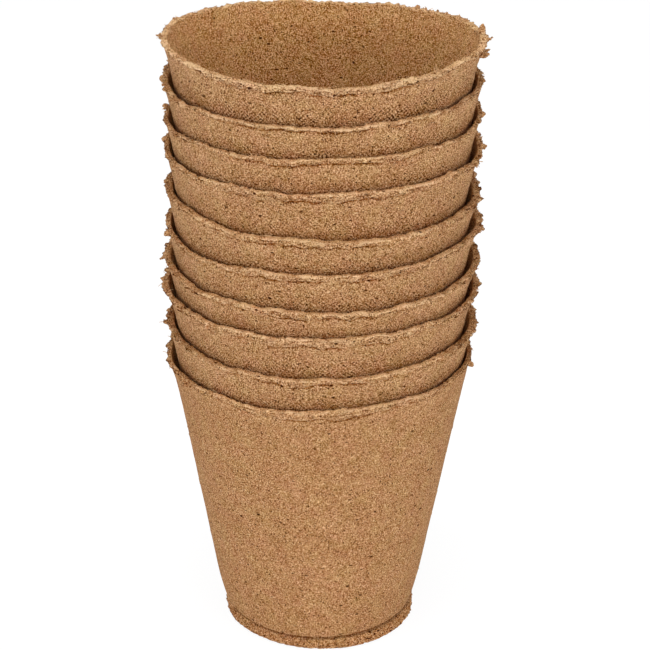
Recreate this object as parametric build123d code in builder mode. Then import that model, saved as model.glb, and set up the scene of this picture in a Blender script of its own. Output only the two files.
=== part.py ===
from build123d import *

import os
from itertools import accumulate

# A stack of round peat pots, nested one inside the other.
# Each pot is one wet-laid, pressed moulding of peat and wood fibre: a tapered wall, a floor on a low foot ring,
# a crease where the wall's rounded heel meets the foot, and a lip of flash round the rim.
# The origin is the centre of the lowest pot's foot, on the surface that it stands on, and +Z is up.

# Driving dimensions of a pot, in millimetres
RIM_DIAMETER = 80.0  # outside of the wall at the rim, without the lip
FOOT_DIAMETER = 51.0  # outside of the foot ring
POT_HEIGHT = 79.0
RIM_THICKNESS = 0.9  # the wall is feathered to this at the rim, measured level
FEATHER_HEIGHT = 9.0  # how far below the rim the feathering starts
LIP_REACH = 0.9  # how far the lip stands out from the wall
LIP_HEIGHT = 2.2  # from the underside of the lip to the rim
LIP_CROWN = 0.6  # how much the top of the lip is domed
FOOT_HEIGHT = 3.6  # from the ground to the crease
FOOT_WIDTH = 4.0  # width of the ring that the pot stands on
FOOT_EDGE_RADIUS = 0.7
FLOOR_HEIGHT = 4.8  # from the ground to the upper face of the floor
FLOOR_THICKNESS = 1.6
CREASE_DEPTH = 0.5  # how far the crease is cut in from the outside of the foot ring
CREASE_HEIGHT = 0.7  # slope of the foot ring's upper side, below the crease
HEEL_HEIGHT = 2.2  # height of the rounded heel of the wall, above the crease
CORNER_RADIUS = 1.6  # inside, between the wall and the floor
DRAIN_DIAMETER = 8.0

# Wall of each pot from the lowest to the highest, measured level. Wet-laid walls differ from pot to pot,
# and the thicker a pot's wall is, the higher the next pot stands in it.
WALL_THICKNESSES = (1.2, 1.8, 1.05, 1.65, 1.35, 2.0, 1.3, 1.2, 1.6, 1.4)
NEST_CLEARANCE = 0.25  # between the wall of a pot and the wall of the next pot in it, measured level

rim_radius = RIM_DIAMETER / 2
foot_radius = FOOT_DIAMETER / 2
taper = (rim_radius - foot_radius) / POT_HEIGHT


def wall_radius(height):
    """Outside radius of the wall at a height above the ground that the pot stands on."""
    return foot_radius + taper * height


def make_pot(name, wall_thickness, seat_height):
    """One pot, turned from its section, with its foot at seat_height."""
    foot_inside = foot_radius - FOOT_WIDTH
    recess_height = FLOOR_HEIGHT - FLOOR_THICKNESS
    crease = (foot_radius - CREASE_DEPTH, FOOT_HEIGHT)
    heel_top_height = FOOT_HEIGHT + HEEL_HEIGHT
    heel_top = (wall_radius(heel_top_height), heel_top_height)
    lip_under = (wall_radius(POT_HEIGHT - LIP_HEIGHT), POT_HEIGHT - LIP_HEIGHT)
    lip_edge = (rim_radius + LIP_REACH, POT_HEIGHT - LIP_CROWN)
    rim_inside = (rim_radius - RIM_THICKNESS, POT_HEIGHT - LIP_CROWN)
    lip_top = ((lip_edge[0] + rim_inside[0]) / 2, POT_HEIGHT)
    feather_height = POT_HEIGHT - FEATHER_HEIGHT
    feather_start = (wall_radius(feather_height) - wall_thickness, feather_height)
    floor_corner = (wall_radius(FLOOR_HEIGHT) - wall_thickness, FLOOR_HEIGHT)

    with BuildPart() as pot:
        with BuildSketch(Plane((0, 0, seat_height), x_dir=(1, 0, 0), z_dir=(0, -1, 0))) as section:
            with BuildLine():
                foot = Polyline(
                    (0, FLOOR_HEIGHT),
                    (0, recess_height),
                    (foot_inside, recess_height),
                    (foot_inside, 0),
                    (foot_radius, 0),
                    (foot_radius, FOOT_HEIGHT - CREASE_HEIGHT),
                    crease,
                )
                heel = TangentArc(heel_top, crease, tangent=(-taper, -1))
                wall = Polyline(heel @ 0, lip_under, lip_edge)
                lip = ThreePointArc(wall @ 1, lip_top, rim_inside)
                Polyline(lip @ 1, feather_start, floor_corner, foot @ 0)
            make_face()
            fillet(section.vertices().sort_by_distance(floor_corner)[0], CORNER_RADIUS)
            foot_edges = section.vertices().group_by(Axis.Y)[0]
            fillet(foot_edges, FOOT_EDGE_RADIUS)
        revolve(axis=Axis.Z)
        with Locations((0, 0, seat_height + FLOOR_HEIGHT)):
            Hole(DRAIN_DIAMETER / 2)

    pot.part.label = name
    return pot.part


# A pot sinks into the one below until its wall meets that pot's wall, or its foot the corner of that pot's floor.
floor_rise = FLOOR_HEIGHT + CORNER_RADIUS + NEST_CLEARANCE
rises = [max((wall + NEST_CLEARANCE) / taper, floor_rise) for wall in WALL_THICKNESSES[:-1]]
seat_heights = list(accumulate(rises, initial=0.0))

os.makedirs("parts", exist_ok=True)
for number, (wall_thickness, seat_height) in enumerate(zip(WALL_THICKNESSES, seat_heights), start=1):
    name = f"pot_{number:02d}"
    export_step(make_pot(name, wall_thickness, seat_height), f"parts/{name}.step")
    print(f"{name}: wall {wall_thickness:.2f} mm, foot at {seat_height:.2f} mm")
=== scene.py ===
import math
import random
from collections import namedtuple

import bmesh
import bpy
from mathutils import Euler, Matrix, Vector, noise


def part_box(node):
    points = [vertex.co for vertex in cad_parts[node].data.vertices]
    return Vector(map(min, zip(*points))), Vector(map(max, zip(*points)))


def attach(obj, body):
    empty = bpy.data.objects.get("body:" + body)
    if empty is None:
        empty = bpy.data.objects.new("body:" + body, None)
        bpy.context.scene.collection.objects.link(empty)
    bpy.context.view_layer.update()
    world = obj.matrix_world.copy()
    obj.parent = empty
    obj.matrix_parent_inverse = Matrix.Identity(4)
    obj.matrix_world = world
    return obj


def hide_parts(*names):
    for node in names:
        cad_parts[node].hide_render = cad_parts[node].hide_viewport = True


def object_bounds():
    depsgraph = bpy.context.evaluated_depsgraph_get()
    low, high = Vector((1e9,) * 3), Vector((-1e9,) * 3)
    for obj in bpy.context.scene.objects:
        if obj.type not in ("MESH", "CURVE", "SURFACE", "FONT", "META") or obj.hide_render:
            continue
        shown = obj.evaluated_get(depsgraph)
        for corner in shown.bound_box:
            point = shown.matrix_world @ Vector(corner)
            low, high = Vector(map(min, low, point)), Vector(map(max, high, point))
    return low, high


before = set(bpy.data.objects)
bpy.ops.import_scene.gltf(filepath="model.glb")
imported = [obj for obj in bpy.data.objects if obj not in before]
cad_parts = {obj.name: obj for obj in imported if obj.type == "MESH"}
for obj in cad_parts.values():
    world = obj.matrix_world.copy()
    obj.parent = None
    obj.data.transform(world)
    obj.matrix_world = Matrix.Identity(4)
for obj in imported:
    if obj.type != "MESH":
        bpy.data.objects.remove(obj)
cad_low, cad_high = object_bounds()

# Pot mouldings
# A pot is one thin moulding of peat and wood fibre, drawn wet onto a gauze former, pressed and dried.
# It has a tapered wall on a low foot ring, and flash torn into a ragged hem round its rim.
# Ten pots nest in one another, and nothing but their taper holds them.

MM = 0.001
RIM_RADIUS = 40.0  # outside of the wall at the rim, without the hem; this section is in millimetres
TOP_RIM_THICKNESS = 1.4
RIM_THINNING = 0.25  # the other rims are thinner than their walls by this
LEAST_RIM_THICKNESS = 0.95
FEATHER_HEIGHT = 9.0  # the wall thins to the rim over this
FLARE_HEIGHT = 7.0  # the wall spreads outward over this, up to the rim
HEM_ZONE = 5.0  # stretch below the rim that is cut finely, for the hem
FOOT_RADIUS = 25.5
FOOT_WIDTH = 4.0
FOOT_TOP = (2.5, 3.1)  # the foot ring ends between these heights
GROOVE_RADIUS = 24.5  # bottom of the groove between the heel and the foot ring
GROOVE_HEIGHT = 3.3
HEEL_HEIGHT = 4.4
FLOOR_HEIGHT = 4.8
RECESS_HEIGHT = 3.2
DRAIN_RADIUS = 4.0
NEST_CLEARANCE = 0.25
TOP_WALL = 1.4  # wall of the top pot, which carries none
SECTORS = 20
SECTOR_STEPS = 32
COLUMNS = SECTORS * SECTOR_STEPS

pot_names = sorted(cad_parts)
seats = [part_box(name)[0].z / MM for name in pot_names]
pot_height = (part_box(pot_names[0])[1].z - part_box(pot_names[0])[0].z) / MM
taper = (RIM_RADIUS - FOOT_RADIUS) / pot_height
rises = [above - below for below, above in zip(seats, seats[1:])]
walls = [rise * taper - NEST_CLEARANCE for rise in rises] + [TOP_WALL]

# Shape of each rim: its height against a level rim at the right, back, left and front; how much higher it is
# at the back right and front left, and lower at the other two corners; how far it spreads outward at the
# right, back, left and front; and the height of its hem.
RIM_CHARACTER = {
    "pot_01": ((-1.2, -0.6, -1.0, -1.0), -0.85, (0.2, 0.7, 0.7, 0.9), 2.3),
    "pot_02": ((0.5, 0.0, 0.3, -0.6), -0.35, (1.2, 0.7, 0.3, 0.8), 1.4),
    "pot_03": ((-0.4, -0.2, -0.8, -0.5), 0.0, (1.3, 0.7, 1.5, 0.9), 2.3),
    "pot_04": ((0.1, 0.0, -0.4, -0.9), 0.3, (1.2, 0.7, 1.3, 0.8), 1.4),
    "pot_05": ((-0.4, 0.0, -1.4, -1.1), -0.35, (1.6, 0.7, 0.4, 0.9), 1.6),
    "pot_06": ((-0.4, 0.0, 0.2, -1.1), 0.1, (0.9, 0.7, 0.4, 0.9), 1.6),
    "pot_07": ((-1.2, -0.5, -1.3, -1.0), -0.45, (1.3, 0.7, 0.5, 1.0), 1.9),
    "pot_08": ((-0.8, 0.0, -1.9, -0.7), 0.0, (0.8, 0.7, 0.2, 0.8), 1.2),
    "pot_09": ((0.2, 0.0, 0.2, -0.9), -0.3, (0.7, 0.7, 0.7, 0.9), 1.0),
    "pot_10": ((0.5, -1.5, 0.6, -0.9), -0.35, (1.5, 0.5, 0.9, 0.9), 1.5),
}
PLAIN_HEM = (0.6, 0.85)  # strength of a hem's marks, its painted highlight and painted light among them, and its reach in front against that at the sides
HEMS = {"pot_10": (1.3, 1.0), "pot_09": (1.0, 0.9), "pot_01": (0.6, 1.0)}
PLAIN_GAUZE = 0.7  # strength of the print that the gauze left on a wall
GAUZES = {"pot_01": 0.0, "pot_04": 0.4, "pot_07": 0.4, "pot_10": 1.1}
PLAIN_COARSENESS = 0.24  # of the grain outside
COARSENESSES = {"pot_01": 0.06, "pot_10": 0.28}

# Waves along a rim: their length and their size.
CREST_WAVES = ((14.0, 0.8), (4.0, 0.45))
HEM_WAVES = ((10.0, 0.6), (3.0, 0.35))  # as shares of the hem's height
FLARE_WAVES = ((12.0, 0.4),)
REACH_WAVES = ((8.0, 0.6), (2.4, 0.4))
TEAR_LENGTH = 9.0
TOOTH_LENGTH = 1.5
TOOTH_SCATTER = 0.12
CREST_TEETH = (0.22, 0.5)  # height of the teeth where the rim is whole, and more where it is torn
REACH_TEETH = (0.1, 0.3)
GROOVE_LENGTH = 5.0
FOLD_LENGTH = 3.5
GROOVE_WIDTH = 0.42  # half of the width of the groove under a hem
GROOVE_DROP = 0.2  # from the hem's lower edge to the middle of the groove
FOLD_WIDTH = 0.3  # half of the width of a fold in a hem

# Lumps of the surface: how many to a millimetre, and their height.
BUCKLES = ((0.12, 0.1), (0.7, 0.06))
CRUMBLES = ((0.9, 0.45), (2.1, 0.4))

# What the mesh tells the material at each point, from 0 to about 1, with below_rim in millimetres.
MARKS = ("outside", "hem", "crease", "gauze", "foot", "below_rim", "ring", "dust_and_warm_shade", "coarse")

RimSpot = namedtuple("RimSpot", "crest hem flare reach tuck groove fold")


def ramp(low, high, value):
    """Smooth step from 0 at low to 1 at high."""
    share = min(1.0, max(0.0, (value - low) / (high - low)))
    return share * share * (3.0 - 2.0 * share)


def wall_radius(height):
    return FOOT_RADIUS + taper * height


def pot_section(bm, outside, wall, rim_thickness):
    """Closed section of a pot in the XZ plane: radius, height, 1 outside, and cuts up to the next point."""
    feather = pot_height - FEATHER_HEIGHT
    hem_zone = pot_height - HEM_ZONE
    inner_foot = FOOT_RADIUS - FOOT_WIDTH
    corner_radius = wall_radius(FLOOR_HEIGHT) - wall
    outline = (
        (DRAIN_RADIUS, FLOOR_HEIGHT, 0, 5),
        (corner_radius - 1.6, FLOOR_HEIGHT, 0, 1),
        (corner_radius - 0.3, FLOOR_HEIGHT + 0.6, 0, 1),
        (corner_radius + 0.3, FLOOR_HEIGHT + 1.8, 0, 9),
        (wall_radius(feather) - wall, feather, 0, 9),
        (RIM_RADIUS - rim_thickness, pot_height - 0.6, 0, 1),
        (RIM_RADIUS - rim_thickness + 0.15, pot_height, 0, 3),
        (RIM_RADIUS, pot_height, 1, 19),
        (wall_radius(hem_zone), hem_zone, 1, 6),
        (wall_radius(feather - 4.0), feather - 4.0, 1, 17),
        (wall_radius(HEEL_HEIGHT), HEEL_HEIGHT, 1, 2),
        (wall_radius(HEEL_HEIGHT) - 0.25, HEEL_HEIGHT - 0.6, 1, 1),
        (GROOVE_RADIUS + 0.6, GROOVE_HEIGHT + 0.2, 1, 2),
        (GROOVE_RADIUS, GROOVE_HEIGHT, 1, 1),
        (GROOVE_RADIUS + 0.2, GROOVE_HEIGHT - 0.2, 1, 2),
        (FOOT_RADIUS, GROOVE_HEIGHT - 0.6, 1, 8),
        (FOOT_RADIUS, 0.5, 1, 1),
        (FOOT_RADIUS - 0.6, 0.0, 1, 4),
        (inner_foot, 0.0, 0, 3),
        (inner_foot, RECESS_HEIGHT, 0, 4),
        (DRAIN_RADIUS, RECESS_HEIGHT, 0, 2),
    )
    corners = []
    for radius, height, side, _ in outline:
        corner = bm.verts.new((radius, 0.0, height))
        corner[outside] = side
        corners.append(corner)
    edges = [bm.edges.new(ends) for ends in zip(corners, corners[1:] + corners[:1])]
    for edge, (*_, cuts) in zip(edges, outline):
        bmesh.ops.subdivide_edges(bm, edges=[edge], cuts=cuts)


def spin_section(bm):
    """Whole pot from its section: one sector in steps, then copies of the sector, welded."""
    sector = 2 * math.pi / SECTORS
    turn = {"cent": (0, 0, 0), "axis": (0, 0, 1)}
    section = bm.verts[:] + bm.edges[:]
    bmesh.ops.spin(bm, geom=section, angle=sector, steps=SECTOR_STEPS, **turn)
    whole = bm.verts[:] + bm.edges[:] + bm.faces[:]
    rest = sector * (SECTORS - 1)
    bmesh.ops.spin(bm, geom=whole, angle=rest, steps=SECTORS - 1, use_duplicate=True, **turn)
    bmesh.ops.remove_doubles(bm, verts=bm.verts[:], dist=1e-4)
    bmesh.ops.recalc_face_normals(bm, faces=bm.faces[:])


def round_rim(angle, wavelength, seed):
    """Noise along the rim, in waves of about this many millimetres."""
    turn = RIM_RADIUS / wavelength
    return noise.noise(Vector((turn * math.cos(angle), turn * math.sin(angle), 31.7 * seed + wavelength)))


def rim_waves(angle, waves, seed):
    return sum(size * round_rim(angle, wavelength, seed) for wavelength, size in waves)


def rim_lean(angle, values):
    """Smooth value round the rim through those at its right, back, left and front."""
    right, back, left, front = values
    level = (right + back + left + front) / 4
    saddle = (right + left - back - front) / 4
    tilt = (right - left) / 2 * math.cos(angle) + (back - front) / 2 * math.sin(angle)
    return level + tilt + saddle * math.cos(2 * angle)


def lumps(spot, sizes):
    return sum(size * noise.noise(spot * pitch) for pitch, size in sizes)


def torn_rim(name, seed):
    """The rim of a pot, column by column: its crest and hem, and the marks in and under the hem."""
    rng = random.Random(seed)
    heights, twist, spreads, hem_height = RIM_CHARACTER[name]
    front_reach = HEMS.get(name, PLAIN_HEM)[1]
    spots = []
    for column in range(COLUMNS):
        angle = column * 2 * math.pi / COLUMNS
        aside = math.cos(angle) ** 2
        facing = ramp(0.75, 0.97, abs(math.sin(angle)))
        crest = rim_lean(angle, heights) + twist * math.sin(2 * angle) + rim_waves(angle, CREST_WAVES, seed)
        spread = rim_lean(angle, spreads)
        torn = ramp(-0.2, 0.4, round_rim(angle, TEAR_LENGTH, seed + 0.5))
        tooth = abs(round_rim(angle, TOOTH_LENGTH, seed)) + rng.uniform(-TOOTH_SCATTER, TOOTH_SCATTER)
        depth = max(0.45, 1.0 + rim_waves(angle, HEM_WAVES, seed))
        ridge = min(1.0, max(0.25, 0.45 * spread + rim_waves(angle, REACH_WAVES, seed)))
        ridge *= front_reach + (1.0 - front_reach) * aside
        groove = ramp(-0.4, 0.0, round_rim(angle, GROOVE_LENGTH, seed + 0.2))
        spots.append(RimSpot(
            crest=crest + tooth * (CREST_TEETH[0] + CREST_TEETH[1] * torn),
            hem=hem_height * depth * (1.0 - 0.6 * aside),
            flare=0.55 * spread + rim_waves(angle, FLARE_WAVES, seed),
            reach=ridge + tooth * (REACH_TEETH[0] + REACH_TEETH[1] * torn),
            tuck=0.8 - 0.5 * ramp(0.9, 1.5, spread),
            groove=groove * (0.12 + 0.88 * facing),
            fold=ramp(0.1, 0.25, round_rim(angle, FOLD_LENGTH, seed + 0.7)),
        ))
    return spots


def make_moulding(name, seat, wall, rim_below, seed):
    """One pot with its foot at seat, and the line of its rim. The line of the rim below it is rim_below."""
    at_top = name == pot_names[-1]
    rim_thickness = TOP_RIM_THICKNESS if at_top else max(LEAST_RIM_THICKNESS, wall - RIM_THINNING)
    painted_end_shade = 0.3 if at_top else 1.0
    hem_strength = HEMS.get(name, PLAIN_HEM)[0]
    gauze_strength = GAUZES.get(name, PLAIN_GAUZE)
    coarseness = COARSENESSES.get(name, PLAIN_COARSENESS)
    rim = torn_rim(name, seed)
    bm = bmesh.new()
    layers = {mark: bm.verts.layers.float.new(mark) for mark in MARKS}
    pot_section(bm, layers["outside"], wall, rim_thickness)
    spin_section(bm)

    drift = Vector((0.0, 0.0, 53.1 * seed))
    for vert in bm.verts:
        angle = math.atan2(vert.co.y, vert.co.x)
        column = round(angle * COLUMNS / (2 * math.pi)) % COLUMNS
        here = rim[column]
        height = vert.co.z
        spot = vert.co + drift
        side = vert[layers["outside"]]
        aside = math.cos(angle) ** 2
        facing = abs(math.sin(angle))
        above = height - pot_height + here.hem  # the lower edge of the hem

        hem_share = side * ramp(-0.05, 0.2, above)
        under = side * here.groove * max(0.0, 1.0 - abs(above + GROOVE_DROP) / GROOVE_WIDTH)
        slit = side * here.fold * max(0.0, 1.0 - abs(above - here.hem / 2) / FOLD_WIDTH)
        foot_share = side * (1.0 - ramp(*FOOT_TOP, height))
        heel_share = side * ramp(*FOOT_TOP, height) * (1.0 - ramp(GROOVE_HEIGHT, 10.0, height))
        in_groove = side * max(0.0, 1.0 - abs(height - GROOVE_HEIGHT + 0.1) / 0.6)
        crumble = lumps(spot, CRUMBLES)
        nubs = max(0.0, noise.noise(spot * 0.5 + drift) - 0.2) * 2.0

        flare_share = ramp(pot_height - FLARE_HEIGHT, pot_height, height) * (0.6 + 0.4 * max(side, aside))
        crown = 1.0 - here.tuck * ramp(0.35, 1.1, above / here.hem)
        foot_lean = (1.1 - 0.8 * aside) * math.cos(angle) - 0.3 * aside
        push = lumps(spot, BUCKLES) * side + here.flare * flare_share
        push += hem_share * (here.reach * crown + nubs + 0.7 * crumble)
        push -= 0.35 * under + 0.35 * slit * here.reach
        push += foot_share * (0.45 + foot_lean + 1.1 * crumble) - 0.4 * heel_share * aside

        heel_lift = side * ramp(0.6, 2.6, height) * (1.0 - ramp(GROOVE_HEIGHT, 14.0, height))
        lift = here.crest * ramp(60.0, pot_height - 1.0, height) + heel_lift * (0.3 + 0.7 * aside)
        lift += 0.4 * crumble * ramp(pot_height - 0.5, pot_height, height)
        lift += 0.6 * max(0.0, crumble) * foot_share * (1.0 - ramp(0.0, 1.5, height))

        # painted shade: the hem darker at the rim's sides, in patches
        ends = hem_share * ramp(0.6, 0.95, abs(math.cos(angle))) * painted_end_shade
        ends *= 0.35 + 0.5 * ramp(-0.3, 0.15, noise.noise(spot * 1.1))
        over = seat + height - rim_below[column]  # the rim below
        # A band just above the rim below, and the grooves and the foot, made warmer: partly dust, partly
        # painted warm shade.
        patchiness = ramp(-0.4, 0.3, noise.noise(spot * 0.25))
        dust_and_warm_shade = side * ramp(-1.0, 0.0, over) * (1.0 - ramp(0.2, 1.4, over)) * (0.2 + 0.3 * patchiness)
        printed = ramp(-0.5, 0.0, noise.noise(spot * 0.06)) * ramp(0.4, 0.8, facing)
        printed *= ramp(HEEL_HEIGHT, 14.0, height) * (1.0 - ramp(pot_height - 9.0, pot_height - 4.0, height))
        marks = {
            "hem": hem_strength * max(hem_share, ramp(pot_height - 0.6, pot_height, height)),
            # painted shade under the hem, in its folds, at the rim's sides and in the groove under the heel
            "crease": max(under, 0.5 * slit, ends, 0.3 * in_groove),
            "gauze": side * gauze_strength * printed,
            "foot": foot_share,
            "below_rim": pot_height - height,
            # painted shade just above the rim below
            "ring": side * ramp(-1.5, 0.0, over) * (1.0 - ramp(0.8, 4.5, over)),
            "dust_and_warm_shade": max(dust_and_warm_shade, 0.6 * in_groove, 0.4 * foot_share, 0.7 * under),
            "coarse": side * coarseness * (1.0 + 0.5 * aside),
        }
        for mark, value in marks.items():
            vert[layers[mark]] = value
        vert.co += Vector((push * math.cos(angle), push * math.sin(angle), lift))

    mesh = bpy.data.meshes.new(name + "_moulding")
    bm.to_mesh(mesh)
    bm.free()
    mesh.transform(Matrix.Translation((0.0, 0.0, seat * MM)) @ Matrix.Scale(MM, 4))
    mesh.shade_smooth()
    piece = bpy.data.objects.new(name + "_moulding", mesh)
    bpy.context.scene.collection.objects.link(piece)
    return piece, [seat + pot_height + here.crest for here in rim]


def screen_colour(red, green, blue):
    """Colour written as it shows on a screen, 0 to 255, in the linear values that a node takes."""
    parts = [part / 255 for part in (red, green, blue)]
    return [p / 12.92 if p <= 0.04045 else ((p + 0.055) / 1.055) ** 2.4 for p in parts] + [1.0]


def feed(tree, socket, value):
    """Links a socket into another, or sets a plain value on it."""
    if isinstance(value, bpy.types.NodeSocket):
        tree.links.new(value, socket)
    else:
        socket.default_value = value


def calculate(tree, operation, first, second=0.0, third=0.0):
    node = tree.nodes.new("ShaderNodeMath")
    node.operation = operation
    for socket, value in zip(node.inputs, (first, second, third)):
        feed(tree, socket, value)
    return node.outputs[0]


def product(tree, first, *others):
    for other in others:
        first = calculate(tree, "MULTIPLY", first, other)
    return first


def add_up(tree, value, parts):
    """Value with parts added to it, each times its strength."""
    for part, strength in parts:
        value = calculate(tree, "MULTIPLY_ADD", part, strength, value)
    return value


def step_up(tree, value, low, high):
    """0 at low and 1 at high, smooth between them; low may be the larger."""
    node = tree.nodes.new("ShaderNodeMapRange")
    node.interpolation_type = "SMOOTHSTEP"
    feed(tree, node.inputs["Value"], value)
    node.inputs["From Min"].default_value = low
    node.inputs["From Max"].default_value = high
    return node.outputs["Result"]


def field(tree, place, scale, detail=1.0, roughness=0.6, distortion=0.0):
    node = tree.nodes.new("ShaderNodeTexNoise")
    tree.links.new(place, node.inputs["Vector"])
    node.inputs["Scale"].default_value = scale
    node.inputs["Detail"].default_value = detail
    node.inputs["Roughness"].default_value = roughness
    node.inputs["Distortion"].default_value = distortion
    return node.outputs["Fac"]


def shifted(tree, place, offset):
    node = tree.nodes.new("ShaderNodeVectorMath")
    node.operation = "ADD"
    tree.links.new(place, node.inputs[0])
    node.inputs[1].default_value = offset
    return node.outputs[0]


def turned(tree, place, tilt, squeeze):
    """Place turned about the Y axis, then squeezed along X, so that round spots on it come out long."""
    node = tree.nodes.new("ShaderNodeMapping")
    tree.links.new(place, node.inputs["Vector"])
    node.inputs["Rotation"].default_value = (0.0, tilt, 0.0)
    node.inputs["Scale"].default_value = (squeeze, squeeze, 1.0)
    return node.outputs[0]


def strands(tree, place, scale, width, amount):
    """Thin curly lines: where a smooth field crosses its middle, broken into short lengths by another."""
    smooth = field(tree, place, scale, detail=0.0, distortion=0.6)
    off_middle = calculate(tree, "ABSOLUTE", calculate(tree, "SUBTRACT", smooth, 0.5))
    line = step_up(tree, off_middle, width, 0.0)
    lengths = field(tree, shifted(tree, place, (17.0, 5.0, 31.0)), scale * 1.7, detail=0.0)
    return product(tree, line, step_up(tree, lengths, 1.0 - amount, 1.06 - amount))


def specks(tree, place, scale, radius, share):
    """Round dark bits in a share of the cells, of that radius in millimetres at most."""
    node = tree.nodes.new("ShaderNodeTexVoronoi")
    tree.links.new(place, node.inputs["Vector"])
    node.inputs["Scale"].default_value = scale
    parts = tree.nodes.new("ShaderNodeSeparateColor")
    tree.links.new(node.outputs["Color"], parts.inputs[0])
    chosen = step_up(tree, parts.outputs[0], 1.0 - share, 1.0)
    inside = calculate(tree, "SUBTRACT", product(tree, chosen, radius * scale), node.outputs["Distance"])
    return step_up(tree, inside, 0.0, 0.12 * scale)


def felted_peat():
    """Node group of the felted surface: its tone, from dark to light about 0.5, and its height."""
    tree = bpy.data.node_groups.new("felted_peat", "ShaderNodeTree")
    tree.interface.new_socket("Place", in_out="INPUT", socket_type="NodeSocketVector")
    tree.interface.new_socket("Tone", in_out="OUTPUT", socket_type="NodeSocketFloat")
    tree.interface.new_socket("Height", in_out="OUTPUT", socket_type="NodeSocketFloat")
    place = tree.nodes.new("NodeGroupInput").outputs["Place"]
    made = tree.nodes.new("NodeGroupOutput")
    grain = field(tree, place, 3.8, detail=0.0)
    mottle = field(tree, place, 0.12, detail=3.0, roughness=0.55)
    pale = strands(tree, place, 0.6, 0.05, 0.5)
    pale_fine = strands(tree, shifted(tree, place, (3.0, 40.0, 9.0)), 1.1, 0.08, 0.5)
    dark = strands(tree, shifted(tree, place, (60.0, 11.0, 2.0)), 0.8, 0.06, 0.45)
    bits = specks(tree, turned(tree, place, -0.9, 0.65), 0.45, 0.36, 0.3)
    long_bits = specks(tree, turned(tree, place, 0.6, 0.45), 1.0, 0.28, 0.22)
    dust = specks(tree, shifted(tree, place, (8.0, 2.0, 77.0)), 1.6, 0.28, 0.35)
    tone = add_up(tree, 0.5 - (GRAIN_CONTRAST + MOTTLE_CONTRAST) / 2, (
        (grain, GRAIN_CONTRAST),
        (mottle, MOTTLE_CONTRAST),
        (pale, 0.16),
        (pale_fine, 0.16),
        (dark, -0.16),
        (bits, -0.9),
        (long_bits, -0.55),
        (dust, -0.5),
    ))
    feed(tree, made.inputs["Tone"], tone)
    feed(tree, made.inputs["Height"], add_up(tree, grain, ((pale, 0.25), (pale_fine, 0.15), (bits, -0.3))))
    return tree


def gauze_print(tree, angle, height, across, along):
    """Dimples left by a gauze that ran on the slant: a count round the pot, and a pitch up its wall."""
    round_wave = calculate(tree, "COSINE", product(tree, angle, across))
    up_wave = calculate(tree, "COSINE", product(tree, height, 2 * math.pi / along))
    return product(tree, round_wave, up_wave)


def frayed_lines(tree, angle, height, below_rim):
    """Layers of the torn felt, drawn out along the rim, and different on each pot."""
    along = product(tree, angle, RIM_RADIUS / FRAY_LENGTH)
    across = product(tree, below_rim, 1.0 / FRAY_WIDTH)
    pot = product(tree, calculate(tree, "ADD", height, below_rim), 0.37)
    place = tree.nodes.new("ShaderNodeCombineXYZ")
    for socket, value in zip(place.inputs, (along, across, pot)):
        tree.links.new(value, socket)
    return field(tree, place.outputs[0], 1.0, detail=1.0, distortion=0.5)


def mesh_value(tree, name):
    """A value that was written on the mesh."""
    node = tree.nodes.new("ShaderNodeAttribute")
    node.attribute_name = name
    return node.outputs["Fac"]


def new_material(name):
    """Material with its shader, its node tree and the place on the object in millimetres."""
    material = bpy.data.materials.new(name)
    material.use_nodes = True
    tree = material.node_tree
    shader = tree.nodes["Principled BSDF"]
    coordinates = tree.nodes.new("ShaderNodeTexCoord")
    scaled = tree.nodes.new("ShaderNodeVectorMath")
    scaled.operation = "SCALE"
    scaled.inputs["Scale"].default_value = 1.0 / MM
    tree.links.new(coordinates.outputs["Object"], scaled.inputs[0])
    return material, tree, shader, scaled.outputs[0]


def place_group(tree, group, place):
    node = tree.nodes.new("ShaderNodeGroup")
    node.node_tree = group
    tree.links.new(place, node.inputs["Place"])
    return node.outputs["Tone"], node.outputs["Height"]


def peat_colours(tree, tone, stops):
    """Colour from the tone, through colours that are written as they show."""
    colours = tree.nodes.new("ShaderNodeValToRGB")
    tree.links.new(tone, colours.inputs[0])
    marks = colours.color_ramp.elements
    while len(marks) < len(stops):
        marks.new(0.5)
    for mark, (position, colour) in zip(marks, stops):
        mark.position = position
        mark.color = screen_colour(*colour)
    return colours.outputs["Color"]


def finish_peat(tree, shader, height):
    """Dull, grainy finish of the felt."""
    bump = tree.nodes.new("ShaderNodeBump")
    bump.inputs["Distance"].default_value = GRAIN_DEPTH * MM
    tree.links.new(height, bump.inputs["Height"])
    tree.links.new(bump.outputs["Normal"], shader.inputs["Normal"])
    shader.inputs["Roughness"].default_value = 0.95
    shader.inputs["Specular IOR Level"].default_value = 0.08


PEAT_STOPS = (
    (0.0, (62, 24, 3)),
    (0.3, (141, 90, 45)),
    (0.5, (178, 128, 82)),
    (0.7, (207, 159, 112)),
    (1.0, (236, 198, 154)),
)
PEAT_TONE = 0.57
GRAIN_CONTRAST = 1.35
MOTTLE_CONTRAST = 0.14
INSIDE_COARSENESS = 1.4  # of the grain; a plain wall has 1
INSIDE_SATURATION = 0.08  # more than outside
DUST_AND_SHADE_SATURATION = 0.15  # more just above the rim below, under the hem, in the groove and on the foot: partly dust, partly painted warm shade
DUST_AND_SHADE_HUE = 0.011  # towards red there
HUE_WANDER = 0.03  # of the whole circle of hues, between yellower and redder patches
GAUZE_ROUND = 212  # dimples round a pot, in every second row
GAUZE_PITCH = 1.14
GAUZE_SAG = 1.6
FRAY_LENGTH = 3.0
FRAY_WIDTH = 0.32
GRAIN_DEPTH = 0.3

peat_group = felted_peat()
peat_material, tree, shader, place = new_material("pressed_peat")
tone, height = place_group(tree, peat_group, place)
marks = {mark: mesh_value(tree, mark) for mark in MARKS}
parts = tree.nodes.new("ShaderNodeSeparateXYZ")
tree.links.new(place, parts.inputs[0])
angle = calculate(tree, "ARCTAN2", parts.outputs[1], parts.outputs[0])

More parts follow.
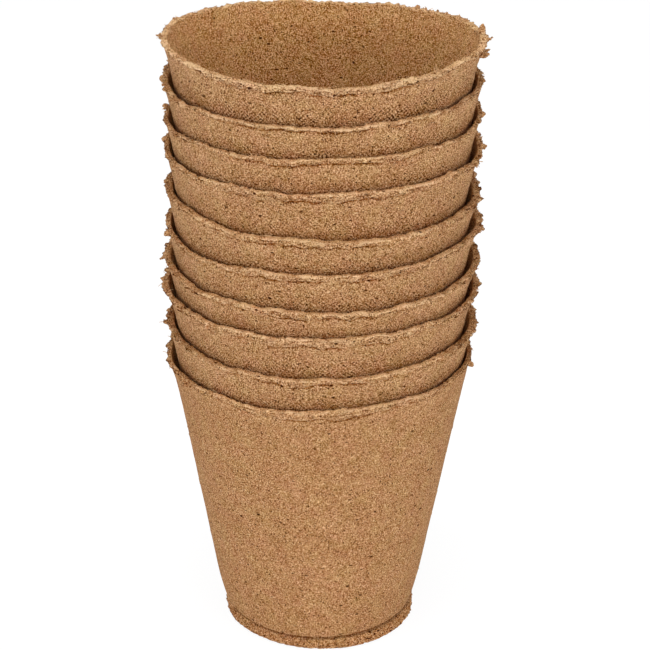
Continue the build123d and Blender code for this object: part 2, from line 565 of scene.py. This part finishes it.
# The print of the gauze sags a little, and is worn off in places.
sag = field(tree, shifted(tree, place, (0.0, 90.0, 0.0)), 0.25)
printed_height = add_up(tree, parts.outputs[2], ((sag, GAUZE_SAG),))
worn = step_up(tree, field(tree, shifted(tree, place, (50.0, 0.0, 0.0)), 0.5), 0.3, 0.6)
dimples = gauze_print(tree, angle, printed_height, GAUZE_ROUND, GAUZE_PITCH)
dimples = product(tree, dimples, worn, marks["gauze"])

# The torn layers of the hem show as pale ridges and dark slits below a pale crest; the slits' darkness is
# painted shade and the crest's paleness a painted highlight.
layers = frayed_lines(tree, angle, parts.outputs[2], marks["below_rim"])
ridges = product(tree, step_up(tree, layers, 0.54, 0.66), marks["hem"])
below_crest = product(tree, marks["outside"], step_up(tree, marks["below_rim"], 0.1, 0.5))
torn = step_up(tree, field(tree, shifted(tree, place, (0.0, 30.0, 0.0)), 0.16), 0.44, 0.56)
slits = product(tree, step_up(tree, layers, 0.42, 0.36), marks["hem"], below_crest, torn)
crest = product(tree, step_up(tree, marks["below_rim"], 0.6, 0.15), step_up(tree, layers, 0.34, 0.56))
painted_crest_highlight = add_up(tree, 0.0, ((marks["hem"], 0.16), (marks["outside"], 0.14)))

# Dark specks lie in the hem as dust, and just above the rim below as painted shade.
dust = specks(tree, shifted(tree, place, (0.0, 70.0, 5.0)), 1.5, 0.32, 0.5)

coarseness = add_up(tree, INSIDE_COARSENESS, (
    (marks["outside"], 1.0 - INSIDE_COARSENESS),
    (marks["coarse"], 1.0),
    (marks["hem"], 0.3),
    (marks["foot"], 0.5),
))
tone = add_up(tree, PEAT_TONE, ((calculate(tree, "SUBTRACT", tone, 0.5), coarseness),))
tone = add_up(tree, tone, (
    (marks["outside"], -0.06),
    # painted highlight: a lighter crest along the top of each rim
    (crest, painted_crest_highlight),
    # painted light: lighter within a few millimetres of the rim, inside and out
    (step_up(tree, marks["below_rim"], 7.0, 2.0), 0.04),
    (dimples, 0.36),
    # painted light: the hem a little lighter all over
    (marks["hem"], 0.05),
    (ridges, 0.36),
    # painted shade: the slits in the hem darker
    (slits, -0.4),
    # painted shade: darker under the hem, in its folds, at the rim's sides and in the groove under the heel
    (marks["crease"], -0.52),
    (marks["foot"], 0.02),
    # painted shade: darker just above the rim below, with more dark specks there
    (marks["ring"], -0.04),
    (product(tree, marks["ring"], dust), -0.3),
    (product(tree, marks["hem"], dust), -0.3),
))
height = product(tree, height, add_up(tree, 1.0, ((marks["hem"], 0.25),)))
height = add_up(tree, height, (
    (dimples, 0.35),
    (slits, -0.3),
    (product(tree, layers, marks["hem"]), 0.4),
))
# painted warm shade, partly dust: more saturated and redder just above the rim below, under the hem, in the
# grooves and on the foot
saturation = add_up(tree, 1.0 + INSIDE_SATURATION, (
    (marks["outside"], -INSIDE_SATURATION),
    (marks["dust_and_warm_shade"], DUST_AND_SHADE_SATURATION),
))
patches = field(tree, shifted(tree, place, (0.0, 0.0, 300.0)), 0.22, detail=2.0)
hue = add_up(tree, 0.5 - HUE_WANDER / 2, ((patches, HUE_WANDER), (marks["dust_and_warm_shade"], -DUST_AND_SHADE_HUE)))
deeper = tree.nodes.new("ShaderNodeHueSaturation")
tree.links.new(peat_colours(tree, tone, PEAT_STOPS), deeper.inputs["Color"])
tree.links.new(saturation, deeper.inputs["Saturation"])
tree.links.new(hue, deeper.inputs["Hue"])
tree.links.new(deeper.outputs["Color"], shader.inputs["Base Color"])
finish_peat(tree, shader, height)

mouldings = {}
rim_line = [-pot_height] * COLUMNS  # no rim is below the lowest pot's
for seed, (name, seat, wall) in enumerate(zip(pot_names, seats, walls), start=1):
    piece, rim_line = make_moulding(name, seat, wall, rim_line, seed)
    piece.data.materials.append(peat_material)
    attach(piece, name)
    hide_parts(name)
    mouldings[name] = piece

# Crumbs
# Torn bits of the same felt that cling to the hem and to the edge of the foot ring, a few tenths of a
# millimetre across, and larger tabs at the sides. They dried fast where the flash was pulled off the former.

CRUMBS_ON_HEM = 130
CRUMBS_ON_FOOT = 90
CRUMB_SIZES = (0.18, 0.45)  # radius, in millimetres
CRUMB_FOOT = (0.8, 2.8)  # heights on the foot ring between which they cling
CRUMB_STOPS = (
    (0.0, (98, 56, 22)),
    (0.5, (180, 130, 84)),
    (1.0, (232, 194, 150)),
)
# Tabs of each rim: where on the rim in degrees, how far the tip stands out from the wall and above the rim's
# level, and half of the tab's thickness.
TABS = {
    "pot_10": (
        (174, 2.6, -0.9, 0.45), (9, 1.0, 2.0, 0.75), (1, 2.6, 0.3, 0.4), (-11, 2.3, -0.2, 0.35),
        (-15, 2.7, -0.8, 0.45), (24, 0.5, 0.5, 0.4), (37, 0.4, 0.4, 0.35), (52, 0.3, 0.1, 0.4),
    ),
    "pot_09": ((170, 1.5, -0.1, 0.5), (180, 1.1, -0.8, 0.6), (2, 1.4, -1.4, 0.4)),
    "pot_08": ((176, 0.7, -1.3, 0.4), (-4, 1.3, -0.5, 0.5)),
    "pot_07": ((178, 1.0, -1.7, 0.5), (-4, 1.9, -0.9, 0.5)),
    "pot_06": ((176, 1.0, -0.7, 0.4),),
    "pot_05": ((-164, 1.7, -1.5, 0.5), (-8, 2.3, -1.3, 0.5)),
    "pot_04": ((-178, 2.2, -1.9, 0.4), (170, 1.8, -2.2, 0.5)),
    "pot_03": ((180, 2.1, -1.0, 0.6), (-174, 1.8, -0.9, 0.5)),
    "pot_02": ((172, 1.6, -1.5, 0.4),),
    "pot_01": ((-14, 1.2, -1.8, 0.5),),
}
TAB_ROOT = (0.3, -1.1)  # where a tab starts, out from the wall and above the rim's level
TAB_LUMPS = ((0.2, 1.7), (0.5, 1.3), (0.75, 0.9), (0.95, 0.5))  # share of the way to the tip, and swelling
CRUMB_ROUGHNESS = ((1.1, 0.35), (2.7, 0.15))  # lumps to a millimetre, and how far they shift the surface

crumb_material, tree, shader, place = new_material("peat_crumb")
tone, height = place_group(tree, peat_group, place)
tree.links.new(peat_colours(tree, tone, CRUMB_STOPS), shader.inputs["Base Color"])
finish_peat(tree, shader, height)


def face_spots(mesh, wanted, count, rng):
    """Random faces among those that are wanted, by their area."""
    faces = [face for face in mesh.polygons if wanted(face)]
    return rng.choices(faces, weights=[face.area for face in faces], k=count)


def hem_spots(mesh, count, rng):
    values = mesh.attributes["hem"].data
    return face_spots(mesh, lambda face: values[face.vertices[0]].value > 0.3, count, rng)


def on_face(face, rng):
    """Frame on a face with Z along its normal, turned at random about it."""
    stand = face.normal.to_track_quat("Z", "X").to_matrix().to_4x4()
    return Matrix.Translation(face.center) @ stand @ Matrix.Rotation(rng.uniform(0.0, 2 * math.pi), 4, "Z")


def add_piece(name, bm, material, body):
    mesh = bpy.data.meshes.new(name)
    bm.to_mesh(mesh)
    bm.free()
    mesh.shade_smooth()
    mesh.materials.append(material)
    piece = bpy.data.objects.new(name, mesh)
    bpy.context.scene.collection.objects.link(piece)
    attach(piece, body)
    return piece


def add_tab(bm, rim_height, degrees, out, up, thickness):
    """One tab as a row of lumps that shrink from its root in the hem to its tip."""
    turn = Matrix.Rotation(math.radians(degrees), 4, "Z")
    root = Vector((RIM_RADIUS + TAB_ROOT[0], 0.0, TAB_ROOT[1])) * MM
    tip = Vector((RIM_RADIUS + out, 0.0, up)) * MM
    for share, swell in TAB_LUMPS:
        middle = Matrix.Translation(root.lerp(tip, share) + Vector((0.0, 0.0, rim_height)))
        size = swell * thickness * MM
        bmesh.ops.create_icosphere(bm, subdivisions=3, radius=size, matrix=turn @ middle)


for seed, name in enumerate(pot_names, start=1):
    rng = random.Random(100 + seed)
    noise.seed_set(100 + seed)  # noise_vector starts from the clock without it
    mesh = mouldings[name].data
    foot_low, foot_high = (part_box(name)[0].z + height * MM for height in CRUMB_FOOT)
    rim_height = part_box(name)[1].z
    on_hem = hem_spots(mesh, CRUMBS_ON_HEM, rng)
    on_foot = face_spots(mesh, lambda face: foot_low < face.center.z < foot_high, CRUMBS_ON_FOOT, rng)
    bm = bmesh.new()
    for face in on_hem + on_foot:
        size = rng.uniform(*CRUMB_SIZES) * MM
        squash = Matrix.Diagonal((rng.uniform(0.8, 1.6), rng.uniform(0.6, 1.0), rng.uniform(0.5, 0.9), 1.0))
        bmesh.ops.create_icosphere(bm, subdivisions=1, radius=size, matrix=on_face(face, rng) @ squash)
    for tab in TABS[name]:
        add_tab(bm, rim_height, *tab)
    for vert in bm.verts:
        for pitch, shift in CRUMB_ROUGHNESS:
            vert.co += noise.noise_vector(vert.co * pitch / MM) * shift * MM
    add_piece(name + "_crumbs", bm, crumb_material, name)

# Loose fibres
# Pale strands of wood fibre that were not quite pressed into the felt: curled, a millimetre or three long,
# lying on every face of a pot, with a few standing out of the hem.

FIBRES = 700
FIBRE_CLEARANCE = 2.0  # none lies lower than this above the ground that the pot stands on
HAIRS = 6  # fibres that stand out of the hem
HEM_STRANDS = 150  # fibres that were drawn out along the hem
TUFT_ANGLE = math.radians(-45.0)  # a tuft on the top rim
TUFT_RADIUS = 2.5
TUFT_HAIRS = 24
LYING_TILT = 0.06  # how far a fibre may be tilted out of the surface, in radians
HAIR_TILT = 0.8
TUFT_TILT = 1.0
FIBRE_THICKNESS = 0.15
FIBRE_SHAPES = ((1.4, 1.2), (2.2, 1.0), (2.6, 2.4), (3.4, 3.0), (1.8, 4.0))  # length and radius of the curl
FIBRE_STEPS = 4
FIBRE_STOPS = (
    (0.3, (166, 118, 74)),
    (0.5, (199, 153, 107)),
    (0.7, (228, 190, 145)),
)

fibre_material, tree, shader, place = new_material("wood_fibre")
fibre_colour = peat_colours(tree, field(tree, place, 0.4), FIBRE_STOPS)
tree.links.new(fibre_colour, shader.inputs["Base Color"])
shader.inputs["Roughness"].default_value = 0.85
shader.inputs["Specular IOR Level"].default_value = 0.2


def curled_fibre(length, curl):
    """One fibre as a mesh: a three-sided strand, bent in the XY plane, with its middle at the origin."""
    bm = bmesh.new()
    upright = Matrix.Rotation(math.pi / 2, 4, "X")
    radius = FIBRE_THICKNESS * MM / 2
    bmesh.ops.create_circle(bm, cap_ends=True, segments=3, radius=radius, matrix=upright)
    geometry = bm.verts[:] + bm.edges[:] + bm.faces[:]
    centre = Vector((curl * MM, 0.0, 0.0))
    sweep = length / curl
    bmesh.ops.spin(bm, geom=geometry, cent=centre, axis=(0, 0, 1), angle=sweep, steps=FIBRE_STEPS)
    bmesh.ops.rotate(bm, verts=bm.verts[:], cent=centre, matrix=Matrix.Rotation(-sweep / 2, 3, "Z"))
    bmesh.ops.recalc_face_normals(bm, faces=bm.faces[:])
    mesh = bpy.data.meshes.new("fibre_shape")
    bm.to_mesh(mesh)
    bm.free()
    return mesh


def tilted_on(face, tilt, rng):
    """Frame on a face, turned at random about its normal and tilted by up to that angle."""
    return on_face(face, rng) @ Matrix.Rotation(rng.uniform(-tilt, tilt), 4, "X")


def along_rim(face, rng):
    """Frame on a face with Z along its normal and Y along the rim, give or take."""
    up = face.normal
    onward = Vector((-face.center.y, face.center.x, 0.0)).normalized()
    across = onward.cross(up).normalized()
    stand = Matrix((across, up.cross(across), up)).transposed().to_4x4()
    return Matrix.Translation(face.center) @ stand @ Matrix.Rotation(rng.gauss(0.0, 0.25), 4, "Z")


fibre_shapes = [curled_fibre(*shape) for shape in FIBRE_SHAPES]
for seed, name in enumerate(pot_names, start=1):
    rng = random.Random(200 + seed)
    mesh = mouldings[name].data
    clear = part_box(name)[0].z + FIBRE_CLEARANCE * MM
    lying = face_spots(mesh, lambda face: face.center.z > clear, FIBRES, rng)
    on_hem = hem_spots(mesh, HAIRS + HEM_STRANDS, rng)
    places = [tilted_on(face, LYING_TILT, rng) for face in lying]
    places += [tilted_on(face, HAIR_TILT, rng) for face in on_hem[:HAIRS]]
    places += [along_rim(face, rng) for face in on_hem[HAIRS:]]
    if name == pot_names[-1]:
        tuft_spot = Vector((math.cos(TUFT_ANGLE), math.sin(TUFT_ANGLE), 0.0)) * RIM_RADIUS * MM
        tuft_spot.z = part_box(name)[1].z
        reach = TUFT_RADIUS * MM
        tuft = face_spots(mesh, lambda face: (face.center - tuft_spot).length < reach, TUFT_HAIRS, rng)
        places += [tilted_on(face, TUFT_TILT, rng) for face in tuft]
    bm = bmesh.new()
    for stand in places:
        strand = rng.choice(fibre_shapes).copy()
        strand.transform(stand)
        bm.from_mesh(strand)
        bpy.data.meshes.remove(strand)
    add_piece(name + "_fibres", bm, fibre_material, name)
for shape in fibre_shapes:
    bpy.data.meshes.remove(shape)

# Studio
# A pale sheet under the stack in a white room, with a soft lamp on each side, one in front and one above.
# The sheet and the room show white to the camera, and the sheet keeps the stack's soft shadow.

FLOOR_SIZE = 6.0
FLOOR_DROP = 0.0002
FLOOR_GREY = 0.9
FLOOR_GLOW = 1.06
FLOOR_WHITE = 0.88  # share of the floor that shows plain white
ROOM_LIGHT = 0.36
LAMPS = {  # place and power
    "left_lamp": ((-1.1, -0.5, 0.3), 3.2),
    "right_lamp": ((1.05, -0.52, 0.45), 3.8),
    "front_lamp": ((0.0, -1.2, 0.3), 3.8),
    "top_lamp": ((-0.05, -0.25, 1.2), 8.0),
}
LAMP_WIDTH = 0.5


def seen_rays(tree):
    """1 for what the camera sees directly, in a reflection or through glass."""
    rays = tree.nodes.new("ShaderNodeLightPath")
    mirrored = calculate(tree, "MAXIMUM", rays.outputs["Is Glossy Ray"], rays.outputs["Is Transmission Ray"])
    return calculate(tree, "MAXIMUM", rays.outputs["Is Camera Ray"], mirrored)


bm = bmesh.new()
bmesh.ops.create_grid(bm, x_segments=1, y_segments=1, size=FLOOR_SIZE / 2)
bmesh.ops.translate(bm, verts=bm.verts[:], vec=(0.0, 0.0, -FLOOR_DROP))
floor_mesh = bpy.data.meshes.new("floor")
bm.to_mesh(floor_mesh)
bm.free()
floor = bpy.data.objects.new("floor", floor_mesh)
bpy.context.scene.collection.objects.link(floor)
floor_material = bpy.data.materials.new("pale_sheet")
floor_material.use_nodes = True
tree = floor_material.node_tree
tree.nodes.remove(tree.nodes["Principled BSDF"])
matt = tree.nodes.new("ShaderNodeBsdfDiffuse")
matt.inputs["Color"].default_value = (FLOOR_GREY, FLOOR_GREY, FLOOR_GREY, 1.0)
glow = tree.nodes.new("ShaderNodeEmission")
glow.inputs["Strength"].default_value = FLOOR_GLOW
blend = tree.nodes.new("ShaderNodeMixShader")
tree.links.new(product(tree, seen_rays(tree), FLOOR_WHITE), blend.inputs[0])
tree.links.new(matt.outputs[0], blend.inputs[1])
tree.links.new(glow.outputs[0], blend.inputs[2])
tree.links.new(blend.outputs[0], tree.nodes["Material Output"].inputs["Surface"])
floor_mesh.materials.append(floor_material)

room = bpy.data.worlds.new("white_room")
room.use_nodes = True
tree = room.node_tree
backdrop = tree.nodes["Background"]
backdrop.inputs["Color"].default_value = (1.0, 1.0, 1.0, 1.0)
strength = add_up(tree, ROOM_LIGHT, ((seen_rays(tree), 1.0 - ROOM_LIGHT),))
tree.links.new(strength, backdrop.inputs["Strength"])
bpy.context.scene.world = room

stack_middle = (cad_low + cad_high) / 2
for name, (spot, power) in LAMPS.items():
    lamp_data = bpy.data.lights.new(name, "AREA")
    lamp_data.size = LAMP_WIDTH
    lamp_data.energy = power
    lamp = bpy.data.objects.new(name, lamp_data)
    lamp.location = spot
    lamp.rotation_euler = (stack_middle - lamp.location).to_track_quat("-Z", "Y").to_euler()
    bpy.context.scene.collection.objects.link(lamp)
bpy.context.scene.view_settings.view_transform = "Standard"

# Viewpoint
# The photograph looks down on the stack a little, from about arm's length, through a long lens.
# The stack leans very slightly to the right in it, so the camera is rolled by that much.

CAMERA_PLACE = (0.0, -0.5505, 0.3213)
CAMERA_DOWN = math.radians(23.30)
CAMERA_TURN = math.radians(-0.117)
CAMERA_ROLL = math.radians(0.558)
SENSOR = 36.0
LENS = 125.08

camera_data = bpy.data.cameras.new("photo_camera")
camera_data.sensor_width = SENSOR
camera_data.lens = LENS
camera = bpy.data.objects.new("photo_camera", camera_data)
aim = Euler((math.pi / 2 - CAMERA_DOWN, 0.0, CAMERA_TURN)).to_matrix() @ Matrix.Rotation(CAMERA_ROLL, 3, "Z")
camera.location = CAMERA_PLACE
camera.rotation_euler = aim.to_euler()
bpy.context.scene.collection.objects.link(camera)
bpy.context.scene.camera = camera
